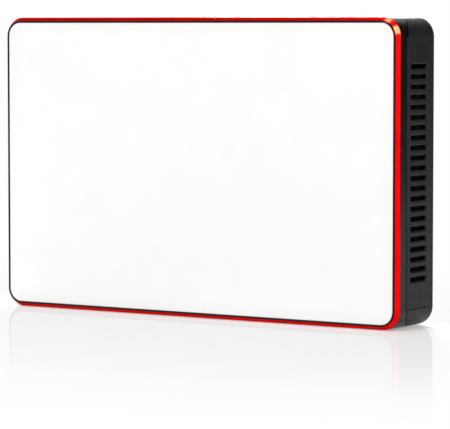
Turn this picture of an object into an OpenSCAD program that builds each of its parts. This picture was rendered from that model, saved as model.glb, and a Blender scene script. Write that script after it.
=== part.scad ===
/* [Body] */
// Width of the casing, left to right
body_w = 143; // [130:1:180]
// Height of the casing as it stands
body_h = 92; // [84:1:130]
// Depth of the casing, from the rim to the back
body_d = 23; // [22:0.5:30]
// Corner radius of the casing's outline
corner_r = 5.8; // [5:0.1:9]
// Rounding of the rear edge
rear_round = 1.1; // [0.4:0.1:1.4]
// Thickness of the housing's side walls
wall = 1.8; // [1.6:0.1:2.4]
// Thickness of the housing's back wall
back_wall = 1.6; // [1.4:0.1:2.2]

/* [Front] */
// Width of the sloping trim ring, seen from the front
trim_w = 1.1; // [0.8:0.1:1.6]
// How far the trim's inner edge lies behind the rim
trim_drop = 0.2; // [0.1:0.05:0.4]
// How far back the trim slopes
trim_slope = 1.5; // [0.8:0.1:1.8]
// Upright outer edge of the trim, behind the slope
trim_land = 0.3; // [0.2:0.1:1]
// Width of the black rim around the diffuser
rim_w = 0.45; // [0.3:0.05:0.8]
// Thickness of the opal diffuser
diffuser_t = 2; // [1.6:0.1:2.6]
// How far the diffuser lies behind the rim
diffuser_recess = 0.15; // [0.05:0.05:0.3]
// Thickness of the diffusion film behind the diffuser
film_t = 0.3; // [0.2:0.05:0.5]
// Width of the ledge that carries the film and the diffuser
ledge_w = 2.6; // [2.2:0.1:2.8]
// Thickness of that ledge
ledge_t = 1.2; // [0.8:0.1:1.6]
// Depth of the seam between the front frame and the housing
seam_d = 5.9; // [5.2:0.1:7]
// Width of the shadow groove at the seam
groove_w = 0.45; // [0.3:0.05:0.8]
// How far the shadow groove goes in
groove_in = 0.5; // [0.3:0.05:0.8]
// Depth to which the frame's guards wrap the housing's corners
guard_d = 15; // [13:0.5:17]
// Thickness of a corner guard
guard_t = 0.8; // [0.6:0.05:1]
// How far the frame's tongue reaches into the housing
tongue_len = 2.3; // [2:0.1:3]
// Thickness of the tongue
tongue_t = 1.3; // [1:0.1:1.6]
// Length of a snap on the tongue, along the wall
snap_w = 8; // [5:0.5:12]
// How far a snap stands out of the tongue
snap_h = 0.5; // [0.3:0.1:0.7]
// Length of a snap, front to back
snap_len = 1; // [0.8:0.1:1.4]
// Distance of the outer snaps from the middle
snap_x = 42; // [30:1:50]

/* [Light engine] */
// Thickness of the tray's walls
tray_wall = 0.9; // [0.6:0.1:1.2]
// Thickness of the tray's floor
tray_floor = 0.6; // [0.4:0.1:0.9]
// Side of one light-emitting diode
led_size = 3; // [2:0.1:4]
// Height of one light-emitting diode
led_t = 0.9; // [0.7:0.1:1.4]
// Spacing of the diodes
led_pitch = 11; // [8:0.5:16]
// Thickness of the metal-core board that carries the diodes
led_board_t = 1.6; // [1:0.1:2]
// Thickness of the thermal pad
pad_t = 0.5; // [0.3:0.1:1]
// Distance of the pad from the edge of the diode board
pad_inset = 6; // [3:0.5:10]
// Thickness of the heat spreader's plate
spreader_t = 1.5; // [1:0.1:2]
// Thickness of a cooling fin
fin_t = 1; // [0.8:0.1:1.4]
// Spacing of the cooling fins
fin_pitch = 6; // [4:0.5:9]
// Height of the cooling fins behind the plate
fin_h = 5.5; // [3:0.5:6]
// Free space at both ends of a fin
fin_end = 3; // [2:0.5:4]

/* [Vents] */
// Thickness of a side grille
grille_t = 1; // [0.8:0.1:1.2]
// Width of the flange behind a grille's edge
flange_w = 1.5; // [1:0.1:2]
// Distance from the grille's rear edge to the back of the casing
grille_back = 2.3; // [1.6:0.1:3]
// Spacing of the vent slots
vent_pitch = 3; // [2.5:0.1:5]
// Height of a slot
vent_h = 1.4; // [1:0.1:1.8]
// Length of a slot with its round ends
vent_len = 10.2; // [7:0.1:10.6]
// Chamfer around a slot's mouth
vent_chamfer = 0.35; // [0.1:0.05:0.45]
// Least distance from a grille's end to the first slot's middle
vent_margin = 8.5; // [6:0.5:20]

/* [Controls] */
// Radius of a dial
dial_r = 10; // [8:0.5:11]
// Thickness of a dial
dial_t = 2.7; // [2.4:0.1:3.2]
// How far a dial lies below the back of the casing
dial_recess = 0.1; // [0.1:0.05:0.4]
// Running gap around and under a dial
dial_gap = 0.4; // [0.3:0.05:0.6]
// Distance of the dials below the top of the casing
dial_drop = 25; // [23:0.5:28]
// Space between the display window and a dial's well
dial_space = 4.5; // [3:0.5:8]
// Wall of a dial's well
well_wall = 1.2; // [0.8:0.1:1.6]
// Chamfer around the mouth of a dial's well
well_chamfer = 0.6; // [0.2:0.1:0.8]
// Number of grip notches around a dial
grip_count = 36; // [16:2:48]
// Radius of a grip notch
grip_r = 0.4; // [0.2:0.05:0.6]
// Radius of the ball that forms the finger dimple
dimple_ball = 5; // [4:0.5:7]
// Depth of the finger dimple
dimple_depth = 0.8; // [0.4:0.1:0.9]
// Distance of the dimple from a dial's middle
dimple_at = 6; // [5.6:0.1:6.4]
// Radius of an encoder's shaft
shaft_r = 2; // [1.5:0.1:2.4]
// How far a shaft reaches into its dial
shaft_in = 1.7; // [1.2:0.1:1.8]
// Side of an encoder's body
encoder_w = 12; // [10:0.5:14]
// Wall of an encoder's collar around its shaft
collar_wall = 1.4; // [1:0.1:2]
// Radius of the power button's cap
button_r = 4; // [3:0.1:4.6]
// How far the button's cap lies below the back of the casing
button_recess = 0.2; // [0.1:0.05:0.5]
// Width of the flange that keeps the button in
button_flange = 1; // [0.6:0.1:1.2]
// Thickness of that flange
flange_t = 0.8; // [0.6:0.1:1]
// Travel of the power button
button_travel = 0.8; // [0.4:0.1:1]
// Distance of the button below the dials
button_drop = 16.5; // [15:0.5:20]
// Side of the power switch's body
switch_w = 6; // [4.5:0.5:7]
// Height of the power switch's body
switch_h = 3.4; // [3:0.1:3.8]
// Radius of the switch's plunger
plunger_r = 1.7; // [1.2:0.1:2]

/* [Display] */
// Width of the display window
window_w = 40; // [30:1:50]
// Height of the display window
window_h = 20; // [14:1:24]
// Corner radius of the display window
window_r = 1.5; // [1:0.1:3]
// Thickness of the display window
window_t = 0.9; // [0.6:0.1:1]
// Width of the seat around the display window
window_seat = 2; // [1:0.1:3]
// Thickness of the display module
display_t = 1.7; // [1.2:0.1:2.2]
// Wall of the bracket under the display
bracket_wall = 1.5; // [1:0.1:2]

/* [Electronics] */
// Space for components between the control board and the back wall
board_room = 6.45; // [5.8:0.05:8]
// Thickness of the control board
board_t = 1.2; // [0.8:0.1:1.6]
// Height of the standoffs under the control board
standoff_h = 1.5; // [1:0.1:2]
// Radius of a standoff
standoff_r = 2.2; // [1.8:0.1:3]
// Border of the control board beside the encoders
board_side = 7; // [6:0.5:9]
// Border of the control board below the power button
board_foot = 6.5; // [5:0.5:9]
// Space above the control board
board_head = 1.2; // [0.8:0.1:3]
// Distance of a board screw from the board's edges
board_screw_in = 4; // [3:0.5:5]
// Distance of the top row of components below the board's edge
row_drop = 6; // [5.5:0.1:7]
// Side of a driver coil
coil_w = 7; // [5:0.5:8]
// Height of a driver coil
coil_h = 4; // [3:0.5:5]
// Distance of the coils from the middle
coil_x = 13; // [11:0.5:16]
// Side of a driver chip
chip_w = 6; // [4:0.5:7]
// Thickness of a chip
chip_t = 1.1; // [0.8:0.1:1.5]
// Distance of the chips from the middle
chip_x = 15; // [12:0.5:20]
// Radius of a capacitor
capacitor_r = 2.5; // [2:0.1:3]
// Height of a capacitor
capacitor_h = 4.5; // [3:0.5:5]
// Spacing of the capacitors
capacitor_pitch = 8; // [7:0.5:9]
// Length of the header between the two boards
header_w = 16; // [10:1:20]
// Thickness of that header
header_t = 2.6; // [2:0.1:3]
// Distance of the header below the control board's edge
header_drop = 8; // [6:0.5:10]

/* [Power] */
// Gap between the battery and its neighbours
battery_gap = 1.5; // [1:0.1:3]
// Thickness of the insulating sheet in front of the battery
insulator_t = 0.4; // [0.2:0.1:0.6]
// Thickness of the foam pad behind the battery
foam_t = 1.6; // [0.8:0.1:2]
// Rounding of the battery's long edges
battery_round = 2; // [1:0.1:2.5]
// Width of the battery's plug
plug_w = 8; // [6:0.5:10]
// Height of the battery's plug along the board
plug_l = 4.4; // [4:0.1:6]
// How far the plug stands off the board
plug_h = 4.4; // [3.5:0.1:5]
// Distance of the plug from the middle
plug_x = 28; // [24:0.5:32]
// Radius of a battery lead
lead_r = 0.7; // [0.5:0.05:0.9]
// Spacing of the two leads
lead_pitch = 3; // [2.2:0.1:4]
// Width of the charging socket's shell
socket_w = 8.94; // [8.5:0.02:9.5]
// Thickness of the charging socket's shell
socket_h = 3.26; // [3:0.02:3.6]
// Length of the charging socket
socket_len = 7.4; // [6.5:0.1:9]
// Sheet thickness of the socket's shell
socket_sheet = 0.3; // [0.2:0.05:0.4]
// How far the socket's mouth lies below the top
socket_recess = 0.3; // [0.1:0.05:0.8]
// Width of the contact tongue in the socket
contact_w = 6.7; // [5.5:0.1:7]
// Thickness of the contact tongue
contact_t = 0.7; // [0.5:0.05:0.9]
// Length of the contact tongue
contact_len = 5; // [4:0.1:5.6]

/* [Fasteners] */
// Distance of the case screws from the casing's ends
screw_in_x = 9.5; // [8:0.5:12]
// Distance of the case screws from top and bottom
screw_in_y = 9; // [8:0.5:12]
// Radius of a case screw's shank
screw_r = 1.2; // [1:0.05:1.5]
// Radius of a case screw's head
head_r = 2.3; // [2:0.1:2.6]
// Height of a case screw's head
head_t = 1.2; // [1:0.1:1.3]
// Radius across the corners of a screw's hexagon socket
drive_r = 1.1; // [0.8:0.05:1.3]
// Depth of a screw's hexagon socket
drive_depth = 0.7; // [0.4:0.1:0.8]
// Wall of a screw post around its screw
post_wall = 1.8; // [1.4:0.1:2.2]
// Height of the heat spreader's screw bosses
boss_h = 2.8; // [2:0.1:4]
// Radius of a board screw's shank
board_screw_r = 0.95; // [0.8:0.05:1.1]
// Radius of a board screw's head
board_head_r = 1.9; // [1.6:0.1:2.2]
// Height of a board screw's head
board_head_t = 1.2; // [0.9:0.1:1.5]
// Radius of the tripod thread's hole
thread_r = 2.55; // [2.5:0.05:2.65]
// Length of the tripod insert
insert_len = 8.4; // [7:0.1:10]
// Radius of the tripod insert
insert_r = 4; // [3.6:0.1:4.2]
// Radius of the groove around the insert
insert_neck_r = 3.5; // [3.2:0.1:3.5]
// Width of the groove around the insert
insert_neck = 1.6; // [1:0.1:2.5]
// How far the insert lies inside the bottom face
insert_recess = 0.3; // [0.1:0.05:0.6]
// Wall of the block that holds the insert
insert_wall = 0.5; // [0.5:0.1:0.6]
// Width of that block beside the insert
insert_side = 2.5; // [1.5:0.1:4]
// Thickness of that block above the insert
insert_cap = 1.6; // [1:0.1:2.5]

/* [Fits] */
// Gap between parts that slip into each other
fit_gap = 0.1; // [0.05:0.01:0.15]
// Gap around a part that is pressed or screwed in
press_gap = 0.02; // [0.01:0.005:0.03]
// Radial gap of a turning shaft or sliding plunger
run_gap = 0.05; // [0.03:0.01:0.08]
// Gap around parts that must not touch
air_gap = 0.5; // [0.3:0.1:0.8]

/* [Hidden] */
$fn = 64;

// Overshoot of a cut, and overlap of two shapes that join
cut = wall / 2;

// Depths behind the rim
trim_edge = trim_drop + trim_slope;
trim_seat = trim_edge + trim_land;
film_front = diffuser_recess + diffuser_t;
ledge_front = film_front + film_t;
ledge_rear = ledge_front + ledge_t;
tongue_end = seam_d + tongue_len;

// Depths counted from the back wall forwards, which leave the tray its depth for mixing the light
inside_rear = body_d - back_wall;
board_rear = inside_rear - board_room;
board_front = board_rear - board_t;
spreader_rear = board_front - standoff_h;
pad_rear = spreader_rear - spreader_t;
led_board_rear = pad_rear - pad_t;
tray_rear = led_board_rear - led_board_t;
boss_end = spreader_rear + boss_h;

// Insets from the casing's outline
rim_out = trim_w;
rim_in = rim_out + rim_w;
ledge_in = rim_in + ledge_w;
tongue_out = wall + fit_gap;
tongue_in = tongue_out + tongue_t;
engine_in = tongue_in + fit_gap;

// Light engine
tray_in = engine_in + tray_wall;
led_cols = floor((body_w - 2 * tray_in) / led_pitch);
led_rows = floor((body_h - 2 * tray_in) / led_pitch);

// Plan positions, measured from the middle of the casing
half_w = body_w / 2;
half_h = body_h / 2;
dial_y = half_h - dial_drop;
well_r = dial_r + dial_gap;
dial_x = window_w / 2 + dial_space + well_r;
button_y = dial_y - button_drop;
board_half = dial_x + encoder_w / 2 + board_side;
board_top = half_h - wall - board_head;
board_low = button_y - board_foot;
row_y = board_top - row_drop;
header_y = board_top - header_drop;
screw_x = half_w - screw_in_x;
screw_y = half_h - screw_in_y;
post_r = screw_r + post_wall;
board_screw_x = board_half - board_screw_in;
board_screw_spots = [
  for (side = [-1, 1])
    for (y = [board_low + board_screw_in, board_top - board_screw_in])
      [side * board_screw_x, y]
];
case_screw_spots = [
  for (side = [-1, 1])
    for (up = [-1, 1])
      [side * screw_x, up * screw_y]
];

// Dials and their wells, from the back of the casing inwards
dial_rear = body_d - dial_recess;
dial_front = dial_rear - dial_t;
well_rear = dial_front - dial_gap;
well_front = well_rear - well_wall;
collar_r = shaft_r + collar_wall;
shaft_front = board_rear + fit_gap * 6;

// Power button
switch_rear = board_rear + switch_h;
cap_rear = body_d - button_recess;
button_flange_rear = inside_rear - fit_gap * 3;
button_flange_front = button_flange_rear - flange_t;
plunger_rear = (switch_rear + button_flange_front) / 2 + button_travel / 2;
plunger_front = switch_rear - button_travel - flange_t / 2;

// Display
window_front = body_d - window_t - fit_gap / 2;
display_w = window_w - window_seat;
display_h = window_h - window_seat;
display_front = inside_rear - display_t;

// Battery bay
insert_top = insert_recess + insert_len + insert_cap;
insert_half = insert_r + insert_wall;
insert_d = inside_rear - insert_half;
battery_low = -half_h + insert_top + battery_gap;
battery_top = board_low - battery_gap;
battery_h = battery_top - battery_low;
battery_y = (battery_top + battery_low) / 2;
battery_w = 2 * board_half;
battery_front = spreader_rear + insulator_t;
battery_rear = inside_rear - foam_t;
plug_y = board_low + plug_l / 2 + fit_gap;
lead_d = board_rear + plug_h / 2;
socket_d = board_rear + socket_h / 2;

// Side grilles
grille_rear = body_d - grille_back;
grille_half = half_h - corner_r;
vent_mid = (seam_d + grille_rear) / 2;
vent_count = floor((2 * grille_half - 2 * vent_margin) / vent_pitch) + 1;

// Fins
fin_in = board_half + fin_end;
fin_out = half_w - wall - fin_end;
fin_reach = screw_y - post_r - fin_t - air_gap;
fin_count = 2 * floor(fin_reach / fin_pitch) + 1;

// The casing is drawn lying face up, with depths downwards, and then stood on its long edge
module stand_up() {
  translate([0, -body_d / 2, half_h]) rotate([90, 0, 0]) children();
}

// Outline with four round corners
module rounded_rect(w, h, r) {
  square([w - 2 * r, h], center = true);
  square([w, h - 2 * r], center = true);
  for (sx = [-1, 1])
    for (sy = [-1, 1])
      translate([sx * (w / 2 - r), sy * (h / 2 - r)]) circle(r);
}

// Plate between two depths, set in from the casing's outline
module plate(inset, d0, d1) {
  translate([0, 0, -d1])
    linear_extrude(d1 - d0)
      rounded_rect(body_w - 2 * inset, body_h - 2 * inset, max(corner_r - inset, fit_gap));
}

// Round bar between two depths
module bar(r, d0, d1) {
  translate([0, 0, -d1]) cylinder(r = r, h = d1 - d0);
}

// Box between two depths, centred in plan
module block(w, h, d0, d1) {
  translate([-w / 2, -h / 2, -d1]) cube([w, h, d1 - d0]);
}

// Plate with round corners between two depths, centred in plan
module rounded_block(w, h, r, d0, d1) {
  translate([0, 0, -d1]) linear_extrude(d1 - d0) rounded_rect(w, h, r);
}

// Sweeps a profile around the casing's outline: x is the inset, y the negative depth
module sweep() {
  runs = [body_h, body_w, body_h, body_w];
  for (side = [0 : 3])
    rotate([0, 0, 90 * side])
      translate([runs[(side + 1) % 4] / 2, -(runs[side] / 2 - corner_r), 0])
        rotate([90, 0, 180])
          linear_extrude(runs[side] - 2 * corner_r)
            children();
  for (side = [0 : 3])
    rotate([0, 0, 90 * side])
      translate([runs[(side + 1) % 4] / 2 - corner_r, runs[side] / 2 - corner_r, 0])
        rotate_extrude(angle = 90)
          translate([corner_r, 0]) mirror([1, 0])
            children();
}

module front_diffuser() color("white") stand_up() plate(rim_in + fit_gap, diffuser_recess, film_front);

module diffusion_film() color("whitesmoke") stand_up() plate(rim_in + fit_gap, film_front, ledge_front);

module trim_ring() color("crimson") stand_up() sweep()
  polygon([
    [0, -trim_edge],
    [0, -trim_seat],
    [rim_out - fit_gap, -trim_seat],
    [rim_out - fit_gap, -trim_drop]
  ]);

// Quarter rings around the casing's corners, between two radii and two depths
module corner_rings(r0, r1, d0, d1) {
  for (corner = [0 : 3]) {
    turn = 90 * corner + 45;
    translate([sign(cos(turn)) * (half_w - corner_r), sign(sin(turn)) * (half_h - corner_r), -d1])
      rotate([0, 0, 90 * corner])
        rotate_extrude(angle = 90)
          translate([r0, 0]) square([r1 - r0, d1 - d0]);
  }
}

// Everything behind two planes that lean back from the sides at a depth, over the width of the corners
module behind_slants(d) {
  lean = (guard_d - seam_d - groove_w) / corner_r;
  reach = corner_r + cut;
  for (side = [-1, 1])
    rotate([90, 0, 0])
      translate([0, 0, -half_h - cut])
        linear_extrude(body_h + 2 * cut)
          polygon([
            [side * (half_w + cut), cut * lean - d],
            [side * (half_w - reach), -reach * lean - d],
            [side * (half_w - reach), -body_d - cut],
            [side * (half_w + cut), -body_d - cut]
          ]);
}

// Guards that run back out of the frame's corners, a hair inside their radius, and stop short of the flat
// top and bottom
module corner_guards() {
  difference() {
    corner_rings(corner_r - guard_t, corner_r - press_gap, seam_d - groove_w - cut, guard_d);
    behind_slants(seam_d);
    for (side = [-1, 1])
      translate([side * (half_w - corner_r), 0, 0]) block(2 * groove_w, body_h + cut, seam_d, guard_d + cut);
  }
}

// Pockets in the housing's corners that take the guards
module guard_pockets() {
  difference() {
    corner_rings(corner_r - guard_t - fit_gap, corner_r + cut, seam_d - cut, guard_d + cut);
    behind_slants(seam_d + groove_w);
  }
}

// Snaps along the top and bottom, with a gap around them for their pockets
module snaps(gap) {
  reach = tongue_out - snap_h - gap;
  for (x = [-snap_x, 0, snap_x])
    for (up = [-1, 1])
      translate([x, up * (half_h - reach - (snap_h + gap + tongue_t) / 2), 0])
        block(snap_w + 2 * gap, snap_h + gap + tongue_t, tongue_end - snap_len - gap, tongue_end + gap);
}

module front_frame() color("#1c1c1e") stand_up() {
  sweep()
    polygon([
      [0, -trim_seat],
      [0, -(seam_d - groove_w)],
      [groove_in, -(seam_d - groove_w)],
      [groove_in, -seam_d],
      [tongue_out, -seam_d],
      [tongue_out, -tongue_end],
      [tongue_in, -tongue_end],
      [tongue_in, -ledge_rear],
      [ledge_in, -ledge_rear],
      [ledge_in, -ledge_front],
      [rim_in, -ledge_front],
      [rim_in, 0],
      [rim_out, 0],
      [rim_out, -trim_seat]
    ]);
  corner_guards();
  snaps(0);
}

// Calls its children at every diode, or at every second one
module at_leds(kinds) {
  for (col = [0 : led_cols - 1])
    for (row = [0 : led_rows - 1])
      if (len(search((col + row) % 2, kinds)) > 0)
        translate([(col - (led_cols - 1) / 2) * led_pitch, (row - (led_rows - 1) / 2) * led_pitch, 0])
          children();
}

module reflector_tray() color("white") stand_up() difference() {
  plate(engine_in, ledge_rear, tray_rear);
  plate(tray_in, ledge_rear - cut, tray_rear - tray_floor);
  at_leds([0, 1]) block(led_size + air_gap, led_size + air_gap, tray_rear - tray_floor - cut, tray_rear + cut);
}

module leds(kind) {
  stand_up() at_leds([kind]) block(led_size, led_size, tray_rear - led_t, tray_rear);
}

module cool_leds() color("lightyellow") leds(0);

module warm_leds() color("gold") leds(1);

module led_board() color("ghostwhite") stand_up() plate(engine_in, tray_rear, led_board_rear);

module thermal_pad() color("slategray") {
  pad_top = header_y - header_t / 2 - air_gap;
  pad_low = -half_h + engine_in + pad_inset;
  stand_up()
    translate([0, (pad_top + pad_low) / 2, 0])
      block(body_w - 2 * (engine_in + pad_inset), pad_top - pad_low, led_board_rear, pad_rear);
}

module heat_spreader() color("#2b2c2e") stand_up() difference() {
  union() {
    plate(wall + air_gap, pad_rear, spreader_rear);
    for (side = [-1, 1])
      for (n = [0 : fin_count - 1])
        translate([side * (fin_in + fin_out) / 2, (n - (fin_count - 1) / 2) * fin_pitch, 0])
          block(fin_out - fin_in, fin_t, pad_rear, spreader_rear + fin_h);
    for (spot = case_screw_spots)
      translate(spot) bar(post_r, pad_rear, boss_end);
    for (spot = board_screw_spots)
      translate(spot) bar(standoff_r, pad_rear, board_front);
  }
  for (spot = case_screw_spots)
    translate(spot) bar(screw_r + press_gap, pad_rear - cut, boss_end + cut);
  for (spot = board_screw_spots)
    translate(spot) bar(board_screw_r + press_gap, pad_rear - cut, board_front + cut);
  translate([0, header_y, 0])
    block(header_w + 2 * air_gap, header_t + 2 * air_gap, pad_rear - cut, spreader_rear + cut);
  translate([0, -half_h, 0])
    block(
      2 * (insert_r + insert_side + air_gap), 2 * (insert_top + air_gap), pad_rear - cut, spreader_rear + cut);
}

module led_header() color("#202020") stand_up()
  translate([0, header_y, 0]) block(header_w, header_t, led_board_rear, board_front);

module control_board() color("darkgreen") stand_up() difference() {
  translate([0, (board_top + board_low) / 2, 0])
    block(2 * board_half, board_top - board_low, board_front, board_rear);
  for (spot = board_screw_spots)
    translate(spot) bar(board_screw_r + fit_gap, board_front - cut, board_rear + cut);
}

module driver_chips() color("#262626") stand_up()
  for (spot = [[-chip_x, button_y], [chip_x, button_y]])
    translate(spot) block(chip_w, chip_w, board_rear, board_rear + chip_t);

module driver_coils() color("dimgray") stand_up()
  for (side = [-1, 1])
    translate([side * coil_x, row_y, 0])
      rounded_block(coil_w, coil_w, coil_w / 4, board_rear, board_rear + coil_h);

module capacitors() color("lightsteelblue") stand_up()
  for (side = [-1, 1])
    for (n = [0, 1])
      translate([side * (coil_x + coil_w / 2 + (n + 0.5) * capacitor_pitch), row_y, 0])
        bar(capacitor_r, board_rear, board_rear + capacitor_h);

module board_screws() color("silver") stand_up()
  for (spot = board_screw_spots)
    translate(spot) {
      bar(board_screw_r, pad_rear, board_rear + board_head_t / 2);
      bar(board_head_r, board_rear, board_rear + board_head_t);
    }

module encoder(x) {
  stand_up() translate([x, dial_y, 0]) difference() {
    union() {
      block(encoder_w, encoder_w, board_rear, well_front - fit_gap);
      bar(collar_r, board_rear, well_rear);
    }
    bar(shaft_r + run_gap, shaft_front - fit_gap, well_rear + cut);
  }
}

module shaft(x) {
  stand_up() translate([x, dial_y, 0]) bar(shaft_r, shaft_front, dial_front + shaft_in);
}

module dial(x) {
  stand_up() translate([x, dial_y, 0]) difference() {
    bar(dial_r, dial_front, dial_rear);
    bar(shaft_r + press_gap, dial_front - cut, dial_front + shaft_in);
    translate([0, dimple_at, dimple_depth - dimple_ball - dial_rear]) sphere(dimple_ball);
    for (n = [0 : grip_count - 1])
      rotate([0, 0, n * 360 / grip_count])
        translate([dial_r, 0, 0]) bar(grip_r, dial_front - cut, dial_rear + cut);
  }
}

module brightness_encoder() color("gray") encoder(-dial_x);

module brightness_shaft() color("silver") shaft(-dial_x);

module brightness_dial() color("#303033") dial(-dial_x);

module colour_encoder() color("gray") encoder(dial_x);

module colour_shaft() color("silver") shaft(dial_x);

module colour_dial() color("#303033") dial(dial_x);

module power_switch() color("gray") stand_up() translate([0, button_y, 0]) difference() {
  block(switch_w, switch_w, board_rear, switch_rear);
  bar(plunger_r + run_gap, plunger_front - button_travel - fit_gap, switch_rear + cut);
}

module power_plunger() color("ivory") stand_up()
  translate([0, button_y, 0]) bar(plunger_r, plunger_front, plunger_rear);

module power_button() color("#b01018") stand_up() translate([0, button_y, 0]) {
  bar(button_r, button_flange_front, cap_rear);
  bar(button_r + button_flange, button_flange_front, button_flange_rear);
  bar(plunger_r, plunger_rear, button_flange_rear);
}

module display_bracket() color("#2a2a2a") stand_up() translate([0, dial_y, 0]) difference() {
  block(display_w, display_h, board_rear, display_front);
  block(
    display_w - 2 * bracket_wall, display_h - 2 * bracket_wall, board_rear - cut, display_front + cut);
}

module display_module() color("#101820") stand_up()
  translate([0, dial_y, 0]) block(display_w, display_h, display_front, inside_rear);

module display_window() color("#0b0c0e") stand_up()
  translate([0, dial_y, 0])
    rounded_block(
      window_w - 2 * fit_gap, window_h - 2 * fit_gap, window_r - fit_gap, window_front, window_front + window_t);

// Long hole with round ends, along the casing's height, between two heights
module socket_bar(w, t, y0, y1) {
  translate([0, y1, -socket_d]) rotate([90, 0, 0]) {
    translate([-(w - t) / 2, -t / 2, 0]) cube([w - t, t, y1 - y0]);
    for (side = [-1, 1])
      translate([side * (w - t) / 2, 0, 0]) cylinder(d = t, h = y1 - y0);
  }
}

module charging_socket() color("silver") {
  mouth = half_h - socket_recess;
  inner_w = socket_w - 2 * socket_sheet;
  inner_t = socket_h - 2 * socket_sheet;
  back = mouth - socket_len;
  stand_up() {
    difference() {
      socket_bar(socket_w, socket_h, back, mouth);
      socket_bar(inner_w, inner_t, back + 2 * socket_sheet, mouth + cut);
    }
    translate([0, back + (2 * socket_sheet + contact_len) / 2, 0])
      block(contact_w, contact_len + 2 * socket_sheet, socket_d - contact_t / 2, socket_d + contact_t / 2);
  }
}

module battery_plug() color("ivory") stand_up()
  translate([plug_x, plug_y, 0]) block(plug_w, plug_l, board_rear, board_rear + plug_h);

module battery_leads() color("red") stand_up()
  for (side = [-1, 1])
    translate([plug_x + side * lead_pitch / 2, plug_y - plug_l / 2, -lead_d])
      rotate([90, 0, 0]) cylinder(r = lead_r, h = plug_y - plug_l / 2 - battery_top);

module battery_pack() color("steelblue") stand_up()
  translate([-battery_w / 2, battery_y, -(battery_front + battery_rear) / 2])
    rotate([90, 0, 90])
      linear_extrude(battery_w)
        rounded_rect(battery_h, battery_rear - battery_front, battery_round);

module battery_foam() color("#303030") stand_up()
  translate([0, battery_y, 0])
    block(battery_w - 2 * battery_round, battery_h - 2 * battery_round, battery_rear, inside_rear);

module battery_insulator() color("khaki") stand_up()
  translate([0, battery_y, 0]) block(battery_w, battery_h, spreader_rear, battery_front);

// Section of the housing's wall with its rounded rear edge
module wall_section() {
  r = min(rear_round, wall, back_wall);
  translate([0, -(body_d - r)]) square([wall, body_d - r - seam_d]);
  translate([r, -body_d]) square([wall + cut - r, back_wall]);
  intersection() {
    translate([r, -(body_d - r)]) circle(r);
    translate([0, -body_d]) square(r);
  }
}

// Openings in both side walls: a rabbet for the grille and the window behind it
module grille_openings() {
  for (side = [-1, 1]) {
    translate([side * half_w, 0, 0])
      block(2 * grille_t, 2 * grille_half, seam_d - cut, grille_rear);
    translate([side * half_w, 0, 0])
      block(2 * (wall + cut), 2 * (grille_half - flange_w), seam_d + flange_w, grille_rear - flange_w);
  }
}

module rear_housing() color("#242426") stand_up() difference() {
  union() {
    sweep() wall_section();
    plate(wall, inside_rear, body_d);
    for (side = [-1, 1])
      translate([side * dial_x, dial_y, 0]) bar(well_r + well_wall, well_front, body_d - back_wall / 2);
    for (spot = case_screw_spots)
      translate(spot) bar(post_r, boss_end, body_d - back_wall / 2);
    translate([0, -half_h + wall / 2, 0])
      translate([0, (insert_top - wall / 2) / 2, 0])
        block(
          2 * (insert_r + insert_side), insert_top - wall / 2,
          insert_d - insert_half, body_d - back_wall / 2);
  }
  grille_openings();
  guard_pockets();
  snaps(fit_gap);
  for (side = [-1, 1])
    translate([side * dial_x, dial_y, 0]) {
      bar(well_r, well_rear, body_d + cut);
      bar(collar_r + fit_gap, well_front - cut, body_d + cut);
      translate([0, 0, -body_d]) cylinder(r1 = well_r + well_chamfer, r2 = well_r, h = well_chamfer);
    }
  translate([0, button_y, 0]) bar(button_r + 2 * fit_gap, inside_rear - cut, body_d + cut);
  translate([0, dial_y, 0]) {
    rounded_block(window_w, window_h, window_r, window_front, body_d + cut);
    block(
      window_w - 2 * window_seat, window_h - 2 * window_seat, inside_rear - cut, body_d + cut);
  }
  for (spot = case_screw_spots)
    translate(spot) {
      bar(screw_r + fit_gap, boss_end - cut, body_d + cut);
      bar(head_r + fit_gap, body_d - head_t - fit_gap, body_d + cut);
    }
  socket_bar(socket_w + 2 * fit_gap, socket_h + 2 * fit_gap, half_h - wall - cut, half_h + cut);
  translate([0, -half_h - cut, -insert_d])
    rotate([-90, 0, 0]) cylinder(r = insert_r + press_gap, h = cut + insert_recess + insert_len);
}

// One vent slot through a grille that lies flat, with its mouth's chamfer upwards
module vent_slot() {
  straight = vent_len - vent_h;
  mouth = vent_h + 2 * vent_chamfer;
  translate([-straight / 2, -vent_h / 2, -grille_t - cut]) cube([straight, vent_h, grille_t + 2 * cut]);
  translate([-straight / 2, 0, 0])
    rotate([90, 0, 90])
      linear_extrude(straight)
        polygon([[-vent_h / 2, -vent_chamfer], [vent_h / 2, -vent_chamfer], [mouth / 2, 0], [-mouth / 2, 0]]);
  for (side = [-1, 1])
    translate([side * straight / 2, 0, 0]) {
      translate([0, 0, -grille_t - cut]) cylinder(d = vent_h, h = grille_t + 2 * cut);
      translate([0, 0, -vent_chamfer]) cylinder(d1 = vent_h, d2 = mouth, h = vent_chamfer);
    }
}

// The grille lies with its length along y and its outer face upwards, and is then set on its side
module side_grille() {
  front = seam_d + fit_gap;
  rear = grille_rear - fit_gap;
  stand_up()
    translate([half_w, 0, 0])
      rotate([0, 90, 0])
        difference() {
          translate([front, -grille_half + fit_gap, -grille_t])
            cube([rear - front, 2 * (grille_half - fit_gap), grille_t]);
          for (n = [0 : vent_count - 1])
            translate([vent_mid, (n - (vent_count - 1) / 2) * vent_pitch, 0]) vent_slot();
        }
}

module side_grille_right() color("#242426") side_grille();

module side_grille_left() color("#242426") mirror([1, 0, 0]) side_grille();

module case_screws() color("#38383a") stand_up()
  for (spot = case_screw_spots)
    translate(spot) difference() {
      seat = body_d - head_t - fit_gap;
      union() {
        bar(screw_r, pad_rear + fit_gap, seat + head_t / 2);
        bar(head_r, seat, seat + head_t);
      }
      translate([0, 0, -(seat + head_t) - cut]) cylinder(r = drive_r, h = drive_depth + cut, $fn = 6);
    }

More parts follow.
